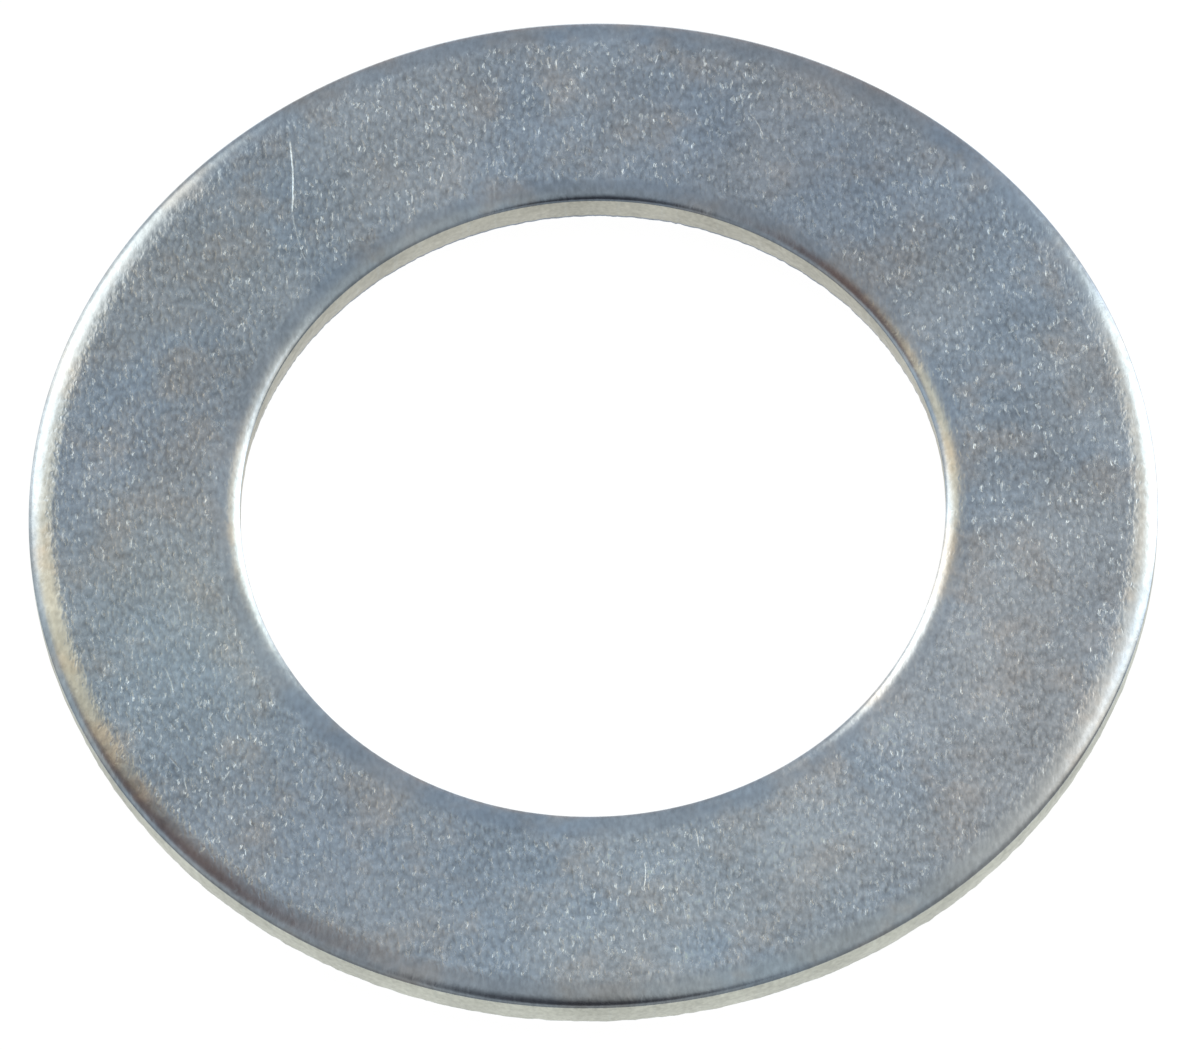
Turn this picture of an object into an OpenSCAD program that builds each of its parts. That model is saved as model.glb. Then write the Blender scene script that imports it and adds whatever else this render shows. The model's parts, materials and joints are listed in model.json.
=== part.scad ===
// Plain flat washer, stamped from sheet steel and zinc plated.
// One ring on the Z axis, lying on its burred face, with the rounded face up.
// Origin: the centre of the bottom face.

/* [Ring] */
// Outer diameter, over the smooth sheared band
outer_d = 31.75; // [28:0.05:60]
// Bore diameter, at the smooth sheared band
bore_d = 19.84; // [6:0.01:24]
// Thickness, from face to face
thickness = 1.21; // [0.8:0.01:4]

/* [Rounded top edges] */
// Width of the strip that the shearing pulled down at the outer edge
outer_roll_w = 0.85; // [0.3:0.01:1]
// How far that strip falls before it meets the outer wall
outer_roll_drop = 0.18; // [0.05:0.01:0.25]
// Width of the strip that the shearing pulled down at the bore
bore_roll_w = 0.65; // [0.3:0.01:0.95]
// How far that strip falls before it meets the bore's wall
bore_roll_drop = 0.14; // [0.05:0.01:0.25]
// Fullness of both strips: 2 is a quarter ellipse, and less is closer to a bevel
roll_power = 1.6; // [1.4:0.05:2.2]

/* [Sheared walls] */
// Height of the smooth straight band below the rounded edge
band_h = 0.40; // [0.1:0.01:0.45]
// How far the torn part of the wall has leant away at its foot
tear_lean = 0.11; // [0.02:0.01:0.2]
// Width and height of the dulled edge of the bottom face
dull_w = 0.04; // [0.01:0.01:0.08]

/* [Hidden] */
$fn = 180;
roll_steps = 12;

outer_r = outer_d / 2;
bore_r = bore_d / 2;

// A wall's outline is drawn from the bottom face up to the top face.
// side is 1 for the outer wall and -1 for the bore, whose metal is on the other side.

// The rounded edge, a quarter of a superellipse: upright at the wall and level in the top face
function roll_points(wall_r, side, width, drop) = [
    for (i = [0 : roll_steps])
        let (turn = 90 * i / roll_steps, power = 2 / roll_power)
            [
                wall_r - side * width * (1 - pow(cos(turn), power)),
                thickness - drop * (1 - pow(sin(turn), power))
            ]
];

// The torn part of the wall, then the straight band, then the rounded edge
function wall_points(wall_r, side, width, drop) = concat(
    [
        [wall_r - side * (tear_lean + dull_w), 0],
        [wall_r - side * tear_lean, dull_w],
        [wall_r, thickness - drop - band_h]
    ],
    roll_points(wall_r, side, width, drop)
);

function reversed(points) = [for (i = [len(points) - 1 : -1 : 0]) points[i]];

// Section through the rim: X is the distance from the axis, Y is the height
module rim_section() {
    polygon(concat(
        wall_points(outer_r, 1, outer_roll_w, outer_roll_drop),
        reversed(wall_points(bore_r, -1, bore_roll_w, bore_roll_drop))
    ));
}

module washer() {
    color([0.60, 0.63, 0.66])
        rotate_extrude()
            rim_section();
}

washer();
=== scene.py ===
"""Looks of the flat washer: one stamped ring with its zinc finish, on a pale floor in soft studio light."""

import json
import math

import bpy
import numpy as np
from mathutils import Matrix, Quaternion, Vector


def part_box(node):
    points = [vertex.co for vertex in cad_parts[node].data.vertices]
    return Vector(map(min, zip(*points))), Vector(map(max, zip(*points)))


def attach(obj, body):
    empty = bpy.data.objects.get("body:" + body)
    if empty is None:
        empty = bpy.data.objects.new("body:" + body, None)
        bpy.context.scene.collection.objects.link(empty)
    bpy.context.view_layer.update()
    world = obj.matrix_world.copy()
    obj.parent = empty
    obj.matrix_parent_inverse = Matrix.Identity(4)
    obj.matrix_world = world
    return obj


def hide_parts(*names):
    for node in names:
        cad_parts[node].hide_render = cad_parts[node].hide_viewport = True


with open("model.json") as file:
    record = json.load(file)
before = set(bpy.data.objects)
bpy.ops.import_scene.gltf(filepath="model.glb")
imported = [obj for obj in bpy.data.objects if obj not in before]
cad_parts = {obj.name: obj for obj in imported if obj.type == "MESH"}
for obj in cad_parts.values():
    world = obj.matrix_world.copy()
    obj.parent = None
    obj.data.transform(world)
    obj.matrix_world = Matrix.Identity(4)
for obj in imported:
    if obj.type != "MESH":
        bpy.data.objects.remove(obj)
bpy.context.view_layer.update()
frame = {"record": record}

MM = 0.001

# The washer's sizes, in millimetres: from the frame where it states them, and otherwise as in the
# part's source
bore_mount = next(m for m in frame["record"]["mounts"] if m["name"] == "bore")
low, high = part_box("washer")
OUTER_R = high.x / MM
THICKNESS = (high.z - low.z) / MM
BORE_R = bore_mount["dims"]["r_mm"]
BAND_H = bore_mount["dims"]["length_mm"]
OUTER_ROLL_W = 0.85
OUTER_ROLL_DROP = 0.18
BORE_ROLL_W = 0.65
BORE_ROLL_DROP = THICKNESS - bore_mount["pos_m"][2] / MM - BAND_H / 2
ROLL_POWER = 1.6
TEAR_LEAN = 0.11
DULL_W = 0.04

# How finely the ring is drawn: steps round it, and steps along each stretch of its section
AROUND = 900
TEAR_STEPS = 8
BAND_STEPS = 4
ROLL_STEPS = 20
FACE_STEPS = 16

# How far each stamped feature wanders round the ring, as a root mean square in millimetres
# (the hollows' waves have the same measure, across the top face)
ROLL_W_WANDER = 0.02
ROLL_DROP_WANDER = 0.004
BAND_FOOT_WANDER = 0.045
TEAR_GRAIN = 0.005
FOOT_EDGE_WANDER = 0.006
FACE_WAVE = 0.0012

# Each wander's slowest and fastest turns round the ring and, where given, how fast its size falls with them
ROLL_W_TURNS = (2, 10)
ROLL_DROP_TURNS = (2, 12)
BAND_FOOT_TURNS = (6, 160, 0.6)
FOOT_EDGE_TURNS = (20, 260, 0.35)
TEAR_TURNS = (60, 420, 0.2)

# Knocks in each rounded edge: their number, depth and half width in millimetres, and the share of
# the depth by which a knock also lowers the surface
KNOCKS = 9
KNOCK_DEPTH = 0.003
KNOCK_WIDTH = 0.18
KNOCK_FALL = 0.6

# Hollows in the top face: how many waves make them up, the shortest and longest wave, and how far
# inside the face's borders they reach their full depth, in millimetres
HOLLOW_WAVES = 14
HOLLOW_LENGTHS = (2.5, 9)
HOLLOW_FADE = 1.4

# Seeds of the random draws
OUTER_SEED = 11
BORE_SEED = 31
HOLLOW_SEED = 71


# ---- Camera ----

def make_camera():
    """A long lens from the front at 61 degrees, turned a little about its own axis."""
    distance = 0.3599
    elevation = math.radians(60.75)
    roll = math.radians(-2.40)
    aim = Vector((0.00011, -0.00006, 0))
    back = Vector((0, -math.cos(elevation), math.sin(elevation)))
    data = bpy.data.cameras.new("camera")
    data.sensor_width = 36
    data.lens = 384.7
    data.clip_start = 0.01
    data.clip_end = 10
    camera = bpy.data.objects.new("camera", data)
    camera.location = aim + back * distance
    camera.rotation_mode = "QUATERNION"
    camera.rotation_quaternion = (-back).to_track_quat("-Z", "Y") @ Quaternion((0, 0, 1), roll)
    bpy.context.scene.collection.objects.link(camera)
    bpy.context.scene.camera = camera


# ---- Ring mesh ----

ANGLES = np.linspace(0, 2 * np.pi, AROUND, endpoint=False)


def ripple(seed, slowest, fastest, fall=1.0):
    """Closed random wave round the ring, of unit root mean square, made of slowest to fastest turns."""
    rng = np.random.default_rng(seed)
    wave = np.zeros(AROUND)
    for turns in range(slowest, fastest + 1):
        size = rng.normal() / turns ** fall
        wave += size * np.cos(turns * ANGLES + rng.uniform(0, 2 * np.pi))
    return wave / np.sqrt(np.mean(wave ** 2))


def knocks_round(seed):
    """Small knocks round the ring: how deep each angle is knocked in, in millimetres."""
    rng = np.random.default_rng(seed)
    total = np.zeros(AROUND)
    for _ in range(KNOCKS):
        centre = rng.uniform(0, 2 * np.pi)
        half = KNOCK_WIDTH * rng.uniform(0.5, 1.5) / OUTER_R
        away = np.angle(np.exp(1j * (ANGLES - centre)))
        total += KNOCK_DEPTH * rng.uniform(0.4, 1.0) * np.exp(-(away / half) ** 2)
    return total


def wall_outline(wall_r, side, width, drop, seed):
    """Radius and height of one wall's outline, bottom face to top face, as arrays of AROUND by points.
    side is 1 for the outer wall and -1 for the bore, whose metal is on the other side."""
    band_foot = THICKNESS - drop - BAND_H + BAND_FOOT_WANDER * ripple(seed + 2, *BAND_FOOT_TURNS)
    width = width + ROLL_W_WANDER * ripple(seed, *ROLL_W_TURNS)
    drop = drop + ROLL_DROP_WANDER * ripple(seed + 1, *ROLL_DROP_TURNS)
    foot_edge = FOOT_EDGE_WANDER * ripple(seed + 3, *FOOT_EDGE_TURNS)
    low_grain = ripple(seed + 4, *TEAR_TURNS)
    high_grain = ripple(seed + 5, *TEAR_TURNS)
    knocks = knocks_round(seed + 6)
    insets = [TEAR_LEAN + DULL_W + foot_edge]
    heights = [np.zeros(AROUND)]
    for share in np.linspace(0, 1, TEAR_STEPS + 1):
        grain = low_grain * (1 - share) + high_grain * share
        swell = math.sin(math.pi * (1 + 3 * share) / 4)
        insets.append((TEAR_LEAN + foot_edge * (1 - share)) * (1 - share) + TEAR_GRAIN * grain * swell)
        heights.append(DULL_W + (band_foot - DULL_W) * share)
    band_top = THICKNESS - drop
    for share in np.linspace(0, 1, BAND_STEPS + 1)[1:]:
        insets.append(np.zeros(AROUND))
        heights.append(band_foot + (band_top - band_foot) * share)
    for turn in np.linspace(0, np.pi / 2, ROLL_STEPS + 1)[1:]:
        knock = knocks * math.sin(2 * turn)
        insets.append(width * (1 - max(0, math.cos(turn)) ** (2 / ROLL_POWER)) + knock)
        heights.append(THICKNESS - drop * (1 - math.sin(turn) ** (2 / ROLL_POWER)) - KNOCK_FALL * knock)
    inset = np.maximum(np.stack(insets, 1), 0)
    return wall_r - side * inset, np.stack(heights, 1)


def face_between(start, end, height):
    """Evenly spaced points between two outlines' ends, at one height."""
    shares = np.linspace(0, 1, FACE_STEPS + 1)[1:-1]
    radii = start[:, None] + (end - start)[:, None] * shares
    return radii, np.full_like(radii, height)


def sink_top_face(x, y, z):
    """The heights with gentle hollows in the top face, from the stamping. They never rise above the
    face, and fade out at its borders."""
    rng = np.random.default_rng(HOLLOW_SEED)
    wave = np.zeros_like(x)
    for _ in range(HOLLOW_WAVES):
        heading = rng.uniform(0, 2 * np.pi)
        length = rng.uniform(*HOLLOW_LENGTHS)
        along = x * np.cos(heading) + y * np.sin(heading)
        wave += np.cos(2 * np.pi / length * along + rng.uniform(0, 2 * np.pi))
    wave /= wave.std()
    radius = np.hypot(x, y)
    inside = np.minimum(OUTER_R - OUTER_ROLL_W - radius, radius - BORE_R - BORE_ROLL_W)
    share = np.clip(inside / HOLLOW_FADE, 0, 1)
    sink = FACE_WAVE * (wave - wave.max()) * share ** 2 * (3 - 2 * share)
    return np.where(z > THICKNESS - 1e-6, z + sink, z)


def make_ring():
    """The washer as one closed lathed mesh."""
    outer_radii, outer_heights = wall_outline(OUTER_R, 1, OUTER_ROLL_W, OUTER_ROLL_DROP, OUTER_SEED)
    bore_radii, bore_heights = wall_outline(BORE_R, -1, BORE_ROLL_W, BORE_ROLL_DROP, BORE_SEED)
    top_radii, top_heights = face_between(outer_radii[:, -1], bore_radii[:, -1], THICKNESS)
    foot_radii, foot_heights = face_between(bore_radii[:, 0], outer_radii[:, 0], 0)
    radii = np.concatenate([outer_radii, top_radii, bore_radii[:, ::-1], foot_radii], 1)
    heights = np.concatenate([outer_heights, top_heights, bore_heights[:, ::-1], foot_heights], 1)
    x = radii * np.cos(ANGLES)[:, None]
    y = radii * np.sin(ANGLES)[:, None]
    z = sink_top_face(x, y, heights)
    points = radii.shape[1]
    index = np.arange(AROUND * points).reshape(AROUND, points)
    ahead = np.roll(index, -1, 0)
    corners = [index, ahead, np.roll(ahead, -1, 1), np.roll(index, -1, 1)]
    faces = np.stack(corners, -1).reshape(-1, 4)
    mesh = bpy.data.meshes.new("washer_ring")
    mesh.from_pydata((np.stack([x, y, z], -1).reshape(-1, 3) * MM).tolist(), [], faces.tolist())
    mesh.polygons.foreach_set("use_smooth", [True] * len(mesh.polygons))
    mesh.validate()
    ring = bpy.data.objects.new("washer_ring", mesh)
    bpy.context.scene.collection.objects.link(ring)
    return ring


# ---- Shader helpers ----

def add(tree, kind, inputs=None, **settings):
    """A new node with its settings, and its inputs set to values or linked to sockets."""
    made = tree.nodes.new(kind)
    for name, value in settings.items():
        setattr(made, name, value)
    for key, value in (inputs or {}).items():
        if isinstance(value, bpy.types.NodeSocket):
            tree.links.new(value, made.inputs[key])
        else:
            made.inputs[key].default_value = value
    return made


def math_node(tree, operation, *values):
    return add(tree, "ShaderNodeMath", dict(enumerate(values)), operation=operation).outputs[0]


def ramp(tree, value, start, end, low=0.0, high=1.0):
    """Smooth change from low to high as value goes from start to end."""
    inputs = {"Value": value, "From Min": start, "From Max": end, "To Min": low, "To Max": high}
    return add(tree, "ShaderNodeMapRange", inputs, interpolation_type="SMOOTHSTEP").outputs["Result"]


def mix_colours(tree, share, first, second):
    made = add(tree, "ShaderNodeMix", data_type="RGBA")
    for socket, value in ((made.inputs[0], share), (made.inputs[6], first), (made.inputs[7], second)):
        if isinstance(value, bpy.types.NodeSocket):
            tree.links.new(value, socket)
        else:
            socket.default_value = value if isinstance(value, float) else (*value, 1)
    return made.outputs[2]


def noise(tree, place, scale, detail=2.0, roughness=0.5):
    inputs = {"Vector": place, "Scale": scale, "Detail": detail, "Roughness": roughness}
    return add(tree, "ShaderNodeTexNoise", inputs).outputs["Fac"]


# ---- Zinc ----

# Lengths on the ring are in millimetres here, and the scales of noises and spots are per millimetre.
FACE_BLUE = (0.51, 0.625, 0.74)
FACE_NEUTRAL = (0.585, 0.665, 0.73)
FACE_BROWN = (0.625, 0.645, 0.65)
OUTER_WALL = (0.52, 0.54, 0.48)
BORE_WALL = (0.45, 0.45, 0.395)
# Painted shade: the bluish shadow line painted at the foot of the bore's wall
FOOT_PAINTED_SHADE = (0.20, 0.24, 0.31)
# Painted highlight: the pale colour that the specks, hair scratches and scratches are painted towards, as
# their glint
PAINTED_GLINT = (0.77, 0.91, 1.0)

# The upright part of the normal at which the surface counts as wall, and as face
WALL_UPRIGHT = 0.30
FACE_UPRIGHT = 0.62

# Distances from the nearer edge between which the open face's grain sets in
GRAIN_FROM = 0.33
GRAIN_FULL = 0.95

# The grain of the sheet, drawn out along Y, its rolling direction, with its contrast in colour near the
# edges and on the open face
ROLLING = (1.0, 0.55, 1.0)
GRAIN_SCALE = 7.5
EDGE_CONTRAST = 0.6
FACE_CONTRAST = 1.3

# Tumbling specks and hair scratches, dents that are also painted with a glint colour: what draws them out,
# scale, size in cells, and rarity
SPECKS = ((1.0, 0.40, 1.0), 6.5, 0.34, 2.4)
HAIRS = ((1.0, 0.16, 1.0), 3.4, 0.12, 2.5)
HAIR_STRENGTH = 0.7
SPECK_WOBBLE = (6.0, (0.22, 0.30, 0))
HAIR_WOBBLE = (0.9, (1, 1, 1))
EDGE_MARKS = 0.15

# Heights of the bumps
EDGE_GRAIN_HEIGHT = 0.002
FACE_GRAIN_HEIGHT = 0.018
WAVE_SCALE = 1.3
WAVE_HEIGHT = 0.004
MARK_DEPTH = 0.006

# Slow changes in colour: the scales of the drift, the stain and the cloud, and the cloud's contrast
DRIFT_SCALE = 0.22
STAIN_SCALE = 0.5
STAIN_SHARE = 0.8
CLOUD_SCALE = 0.45
CLOUD_CONTRAST = 0.7
CROWD_SCALE = 0.16
# How far the marks and scratches are painted towards the glint colour, a painted highlight
MARK_PAINTED_GLINT = 0.6

# Height on the bore's wall over which the painted bluish shadow line at its foot ends
FOOT_SHADE_LINE = (0.09, 0.17)

EDGE_ROUGH = 0.17
FACE_ROUGH = 0.26
WALL_ROUGH = 0.48
MARK_ROUGH = 0.12

# Slow changes of brightness and tint over the top face, darker towards +Y and lighter towards -Y: centre,
# radius and tint
TONES = [
    ((0, 13), 9, (0.95, 0.95, 0.96)),
    ((7, 11), 8, (0.86, 0.86, 0.88)),
    ((-10, 8), 9, (0.89, 0.91, 0.91)),
    ((-12, -4), 7, (1.09, 1.11, 1.07)),
    ((2, -13), 10, (1.12, 1.15, 1.16)),
    ((11, -7), 9, (1.23, 1.17, 1.12)),
]

# Scratches in the top face: start, end, bow, width, and depth as a share of MARK_DEPTH
SCRATCHES = [
    ((-8.23, 12.37), (-8.22, 9.75), 0.07, 0.026, 1.0),
    ((-8.20, 9.95), (-7.85, 8.20), -0.06, 0.020, 0.4),
    ((1.03, -11.45), (0.97, -12.30), 0.03, 0.018, 0.6),
    ((2.45, -10.45), (2.52, -11.10), 0.03, 0.018, 0.5),
    ((11.3, -2.2), (11.9, -3.0), 0.08, 0.018, 0.5),
    ((4.9, 12.6), (5.3, 11.7), 0.07, 0.018, 0.5),
    ((-12.2, -4.6), (-11.9, -5.6), 0.06, 0.018, 0.5),
]


def scaled(tree, place, factors):
    return add(tree, "ShaderNodeVectorMath", {0: place, 1: factors}, operation="MULTIPLY").outputs[0]


def shifted(tree, place, offset):
    return add(tree, "ShaderNodeVectorMath", {0: place, 1: offset}, operation="ADD").outputs[0]


def wobbled(tree, place, scale, reach):
    """The place moved by a smooth noise, so that what is drawn on it turns ragged."""
    inputs = {"Vector": place, "Scale": scale, "Detail": 1.0}
    wobble = add(tree, "ShaderNodeTexNoise", inputs).outputs["Color"]
    return shifted(tree, place, scaled(tree, wobble, reach))


def distance_from(tree, place, point):
    """Distance from an upright line through the point."""
    flat = scaled(tree, shifted(tree, place, (-point.x, -point.y, 0)), (1, 1, 0))
    return add(tree, "ShaderNodeVectorMath", {0: flat}, operation="LENGTH").outputs["Value"]


def scratch_mask(tree, place, start, end, bow, width):
    """1 along a shallow arc between two points of the top face, fading at its ends. bow is the arc's
    height."""
    start, end = Vector(start), Vector(end)
    half = (end - start).length / 2
    along = (end - start).normalized()
    across = Vector((-along.y, along.x)) * math.copysign(1, bow)
    radius = (half ** 2 + bow ** 2) / (2 * abs(bow))
    middle = (start + end) / 2
    centre = middle - across * (radius - abs(bow))
    off_line = math_node(tree, "SUBTRACT", distance_from(tree, place, centre), radius)
    line = ramp(tree, math_node(tree, "ABSOLUTE", off_line), 0, width, 1, 0)
    reach = ramp(tree, distance_from(tree, place, middle), half * 0.75, half, 1, 0)
    return math_node(tree, "MULTIPLY", line, reach)


def spots(tree, place, stretch, scale, size, rarity):
    """Scattered soft spots of random strength. The higher the rarity, the fewer strong ones there are."""
    inputs = {"Vector": scaled(tree, place, stretch), "Scale": scale}
    cells = add(tree, "ShaderNodeTexVoronoi", inputs, voronoi_dimensions="2D")
    chance = add(tree, "ShaderNodeSeparateColor", {0: cells.outputs["Color"]}).outputs[0]
    spot = ramp(tree, cells.outputs["Distance"], size * 0.2, size, 1, 0)
    return math_node(tree, "MULTIPLY", spot, math_node(tree, "POWER", chance, rarity))


def parts_of_surface(tree, place):
    """How far each point belongs to the walls, to the open face away from the edges, and to the bore's
    half of the rim."""
    radius = distance_from(tree, place, Vector((0, 0)))
    from_outer = math_node(tree, "SUBTRACT", OUTER_R, radius)
    from_bore = math_node(tree, "SUBTRACT", radius, BORE_R)
    normal = add(tree, "ShaderNodeNewGeometry").outputs["Normal"]
    upright = add(tree, "ShaderNodeSeparateXYZ", {0: normal}).outputs["Z"]
    wall = ramp(tree, math_node(tree, "ABSOLUTE", upright), WALL_UPRIGHT, FACE_UPRIGHT, 1, 0)
    open_face = ramp(tree, math_node(tree, "MINIMUM", from_outer, from_bore), GRAIN_FROM, GRAIN_FULL)
    in_bore = ramp(tree, math_node(tree, "SUBTRACT", from_outer, from_bore), -0.1, 0.1)
    return wall, open_face, in_bore


def tumbling_marks(tree, place, open_face):
    """Specks and hair scratches, weaker near the edges and in some parts of the face."""
    specks = spots(tree, wobbled(tree, place, *SPECK_WOBBLE), *SPECKS)
    hairs = spots(tree, wobbled(tree, place, *HAIR_WOBBLE), *HAIRS)
    marks = math_node(tree, "MAXIMUM", specks, math_node(tree, "MULTIPLY", hairs, HAIR_STRENGTH))
    inside = math_node(tree, "MULTIPLY_ADD", open_face, 1 - EDGE_MARKS, EDGE_MARKS)
    marks = math_node(tree, "MULTIPLY", marks, inside)
    crowd = noise(tree, shifted(tree, place, (21, 33, 0)), CROWD_SCALE, 1.0)
    return math_node(tree, "MULTIPLY", marks, ramp(tree, crowd, 0.34, 0.62, 0.6, 1.15))


def scratch_lines(tree, place):
    """The single scratches of the top face, as a share of MARK_DEPTH."""
    lines = 0.0
    for start, end, bow, width, depth in SCRATCHES:
        mask = scratch_mask(tree, place, start, end, bow, width)
        lines = math_node(tree, "MULTIPLY_ADD", mask, depth, lines)
    return lines


def bumped_normal(tree, place, fine, open_face, marks, scratches):
    """The surface's normal with its grain, waves, marks and scratches."""
    fine_height = ramp(tree, open_face, 0, 1, EDGE_GRAIN_HEIGHT, FACE_GRAIN_HEIGHT)
    height = math_node(tree, "MULTIPLY", fine, fine_height)
    height = math_node(tree, "MULTIPLY_ADD", noise(tree, place, WAVE_SCALE, 1.0), WAVE_HEIGHT, height)
    height = math_node(tree, "MULTIPLY_ADD", marks, -MARK_DEPTH, height)
    height = math_node(tree, "MULTIPLY_ADD", scratches, -MARK_DEPTH, height)
    return add(tree, "ShaderNodeBump", {"Height": height, "Distance": MM, "Strength": 1.0}).outputs["Normal"]


def face_tone(tree, place):
    """Slow drifts of blue, neutral and faint brown over the faces, with their tints."""
    drift = noise(tree, place, DRIFT_SCALE, 2.0)
    stain = noise(tree, shifted(tree, place, (40, 7, 0)), STAIN_SCALE, 4.0, 0.6)
    tone = mix_colours(tree, ramp(tree, drift, 0.38, 0.64), FACE_BLUE, FACE_NEUTRAL)
    tone = mix_colours(tree, ramp(tree, stain, 0.46, 0.70, 0, STAIN_SHARE), tone, FACE_BROWN)
    for (x, y), reach, tint in TONES:
        near = ramp(tree, distance_from(tree, place, Vector((x, y))), 0, reach, 1, 0)
        tone = scaled(tree, tone, mix_colours(tree, near, (1, 1, 1), tint))
    return tone


def wall_tone(tree, place, in_bore):
    """The walls' plain colours, with a painted bluish shadow line at the foot of the bore's wall."""
    tone = mix_colours(tree, in_bore, OUTER_WALL, BORE_WALL)
    height_up = add(tree, "ShaderNodeSeparateXYZ", {0: place}).outputs["Z"]
    # Painted shadow: the bore's wall is painted bluish and darker near its foot
    painted_foot_shade = math_node(tree, "MULTIPLY", ramp(tree, height_up, *FOOT_SHADE_LINE, 1, 0), in_bore)
    return mix_colours(tree, painted_foot_shade, tone, FOOT_PAINTED_SHADE)


def mottled(tree, colour, place, fine, open_face):
    """The colour, darker and lighter with the grain and in soft clouds."""
    contrast = ramp(tree, open_face, 0, 1, EDGE_CONTRAST, FACE_CONTRAST)
    factor = math_node(tree, "MULTIPLY_ADD", math_node(tree, "SUBTRACT", fine, 0.5), contrast, 1.0)
    cloud = noise(tree, shifted(tree, place, (3, 60, 0)), CLOUD_SCALE, 4.0, 0.55)
    factor = math_node(tree, "MULTIPLY_ADD", math_node(tree, "SUBTRACT", cloud, 0.5), CLOUD_CONTRAST, factor)
    return add(tree, "ShaderNodeVectorMath", {0: colour, "Scale": factor}, operation="SCALE").outputs[0]


def zinc_material():
    """Zinc plate over tumbled sheet: blue-grey faces with fine dents, whose glints are partly painted
    highlights in the colour, and creamier walls.
    """
    material = bpy.data.materials.new("zinc_plate")
    material.use_nodes = True
    tree = material.node_tree
    tree.nodes.clear()
    place_m = add(tree, "ShaderNodeTexCoord").outputs["Object"]
    place = add(tree, "ShaderNodeVectorMath", {0: place_m, "Scale": 1 / MM}, operation="SCALE").outputs[0]
    wall, open_face, in_bore = parts_of_surface(tree, place)
    fine = noise(tree, scaled(tree, place, ROLLING), GRAIN_SCALE, 2.0)
    marks = tumbling_marks(tree, place, open_face)
    scratches = scratch_lines(tree, place)
    normal = bumped_normal(tree, place, fine, open_face, marks, scratches)

    colour = mix_colours(tree, wall, face_tone(tree, place), wall_tone(tree, place, in_bore))
    colour = mottled(tree, colour, place, fine, open_face)
    # Painted highlight: the marks and scratches are painted paler, towards the glint colour, on top of their
    # bumps
    strongest = math_node(tree, "MAXIMUM", marks, scratches)
    painted_glint = math_node(tree, "MULTIPLY", strongest, MARK_PAINTED_GLINT)
    colour = mix_colours(tree, painted_glint, colour, PAINTED_GLINT)

    # Satin faces, smoother rounded edges, dull walls, and marks that scatter more light
    face_rough = ramp(tree, open_face, 0, 1, EDGE_ROUGH, FACE_ROUGH)
    rough = add(tree, "ShaderNodeMix", {0: wall, 2: face_rough, 3: WALL_ROUGH}).outputs[0]
    rough = math_node(tree, "MULTIPLY_ADD", marks, MARK_ROUGH, rough)

    inputs = {"Base Color": colour, "Roughness": rough, "Normal": normal, "Metallic": 1.0}
    shader = add(tree, "ShaderNodeBsdfPrincipled", inputs)
    output = add(tree, "ShaderNodeOutputMaterial")
    tree.links.new(shader.outputs[0], output.inputs["Surface"])
    return material


# ---- Studio ----

# The room's light: grey all round, with soft patches laid over it, each over those before it. A patch
# has a name, its azimuth from +X and elevation in degrees, the half widths at which it is full and gone,
# and its colour. The names only tell the patches apart: what stood in the real room isn't known.
ROOM_GREY = (0.258, 0.250, 0.240)
ROOM_PATCHES = [
    ("broad glow of the back wall", 106, 38, 10, 75, (0.61, 0.62, 0.63)),
    ("darker foot of the back wall", 87, 20, 10, 32, (0.46, 0.42, 0.42)),
    ("dim ceiling", 174, 85, 13, 39, (0.345, 0.342, 0.345)),
    ("lighter spot of the ceiling, left", 160, 74, 3, 12, (0.46, 0.46, 0.46)),
    ("dark spot of the ceiling, front", 262, 79, 3, 17, (0.020, 0.018, 0.025)),
    ("lighter spot of the ceiling, right", 18, 77, 4, 17, (0.46, 0.45, 0.43)),
    ("bluish middle of the back wall", 97, 45, 15, 35, (0.36, 0.38, 0.41)),
    ("dark brown strip above the left window", 150, 65, 4, 14, (0.15, 0.095, 0.085)),
    ("warm surround of the right window", 33, 46, 9, 24, (1.08, 0.98, 0.86)),
    ("warm line beside the right window", 57, 55, 1, 6, (0.95, 0.79, 0.61)),
    ("top of the right window", 30, 56, 2, 8, (1.30, 1.25, 1.20)),
    ("warm line above the left window", 128, 55, 3, 12, (1.05, 0.85, 0.59)),
    ("middle of the right window", 41, 40, 3, 18, (2.05, 2.02, 1.87)),
    ("middle of the left window", 125, 38, 2, 17, (2.25, 2.10, 1.90)),
    ("foot of the right window", 33, 20, 6, 25, (1.95, 1.91, 1.92)),
    ("foot of the left window", 134, 17, 4, 17, (1.40, 1.31, 1.20)),
]
PALE = (1.0, 1.0, 1.0)

# The floor: half its width and its height in metres, its reflectance and its glow
FLOOR_HALF = 2.0
FLOOR_HEIGHT = -0.00001
FLOOR_GREY = (0.12, 0.12, 0.12, 1)
FLOOR_GLOW = 0.97


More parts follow.
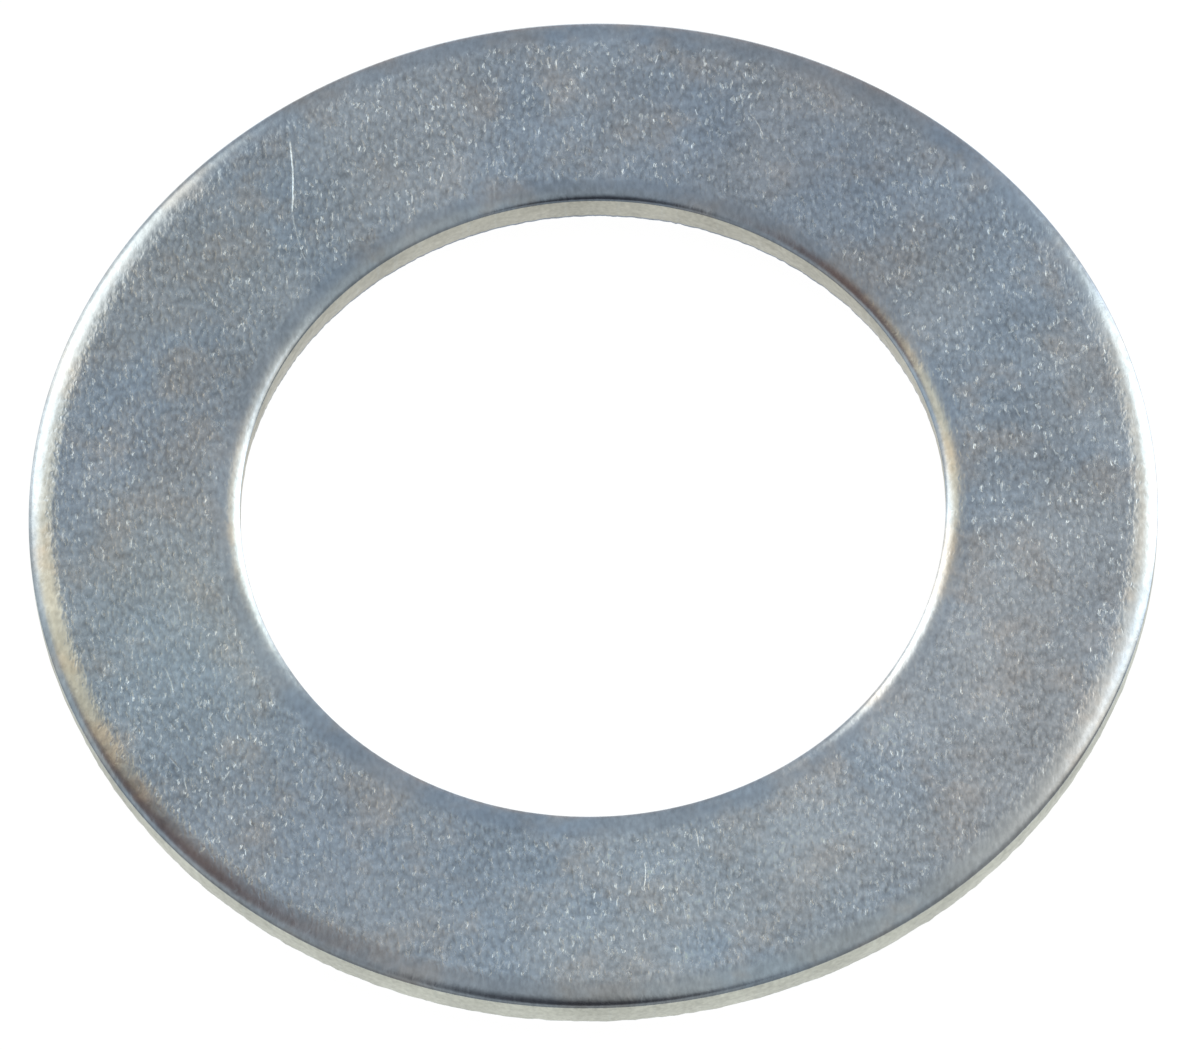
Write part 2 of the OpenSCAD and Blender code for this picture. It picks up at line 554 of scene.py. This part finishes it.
def direction(azimuth, elevation):
    a, e = math.radians(azimuth), math.radians(elevation)
    return (math.cos(e) * math.cos(a), math.cos(e) * math.sin(a), math.sin(e))


def make_room():
    """World light of a dim room with two soft windows. The camera sees plain pale surroundings."""
    world = bpy.data.worlds.new("room")
    world.use_nodes = True
    tree = world.node_tree
    tree.nodes.clear()
    heading = add(tree, "ShaderNodeTexCoord").outputs["Generated"]
    colour = ROOM_GREY
    for _, azimuth, elevation, full, gone, patch in ROOM_PATCHES:
        facing = add(tree, "ShaderNodeVectorMath", {0: heading, 1: direction(azimuth, elevation)},
                     operation="DOT_PRODUCT").outputs["Value"]
        share = ramp(tree, facing, math.cos(math.radians(gone)), math.cos(math.radians(full)))
        colour = mix_colours(tree, share, colour, patch)
    seen = add(tree, "ShaderNodeLightPath").outputs["Is Camera Ray"]
    colour = mix_colours(tree, seen, colour, PALE)
    background = add(tree, "ShaderNodeBackground", {"Color": colour})
    output = add(tree, "ShaderNodeOutputWorld")
    tree.links.new(background.outputs[0], output.inputs["Surface"])
    bpy.context.scene.world = world


def make_floor():
    """A pale light table that glows from below."""
    mesh = bpy.data.meshes.new("floor")
    signs = ((-1, -1), (1, -1), (1, 1), (-1, 1))
    corners = [(FLOOR_HALF * across, FLOOR_HALF * along, FLOOR_HEIGHT) for across, along in signs]
    mesh.from_pydata(corners, [], [(0, 1, 2, 3)])
    floor = bpy.data.objects.new("floor", mesh)
    bpy.context.scene.collection.objects.link(floor)
    material = bpy.data.materials.new("floor")
    material.use_nodes = True
    shader = material.node_tree.nodes["Principled BSDF"]
    shader.inputs["Base Color"].default_value = FLOOR_GREY
    shader.inputs["Roughness"].default_value = 0.9
    shader.inputs["Specular IOR Level"].default_value = 0.0
    shader.inputs["Emission Color"].default_value = (1, 1, 1, 1)
    shader.inputs["Emission Strength"].default_value = FLOOR_GLOW
    mesh.materials.append(material)


make_camera()
ring = make_ring()
ring.data.materials.append(zinc_material())
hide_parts("washer")
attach(ring, "root")
make_room()
make_floor()
bpy.context.scene.view_settings.view_transform = "Standard"
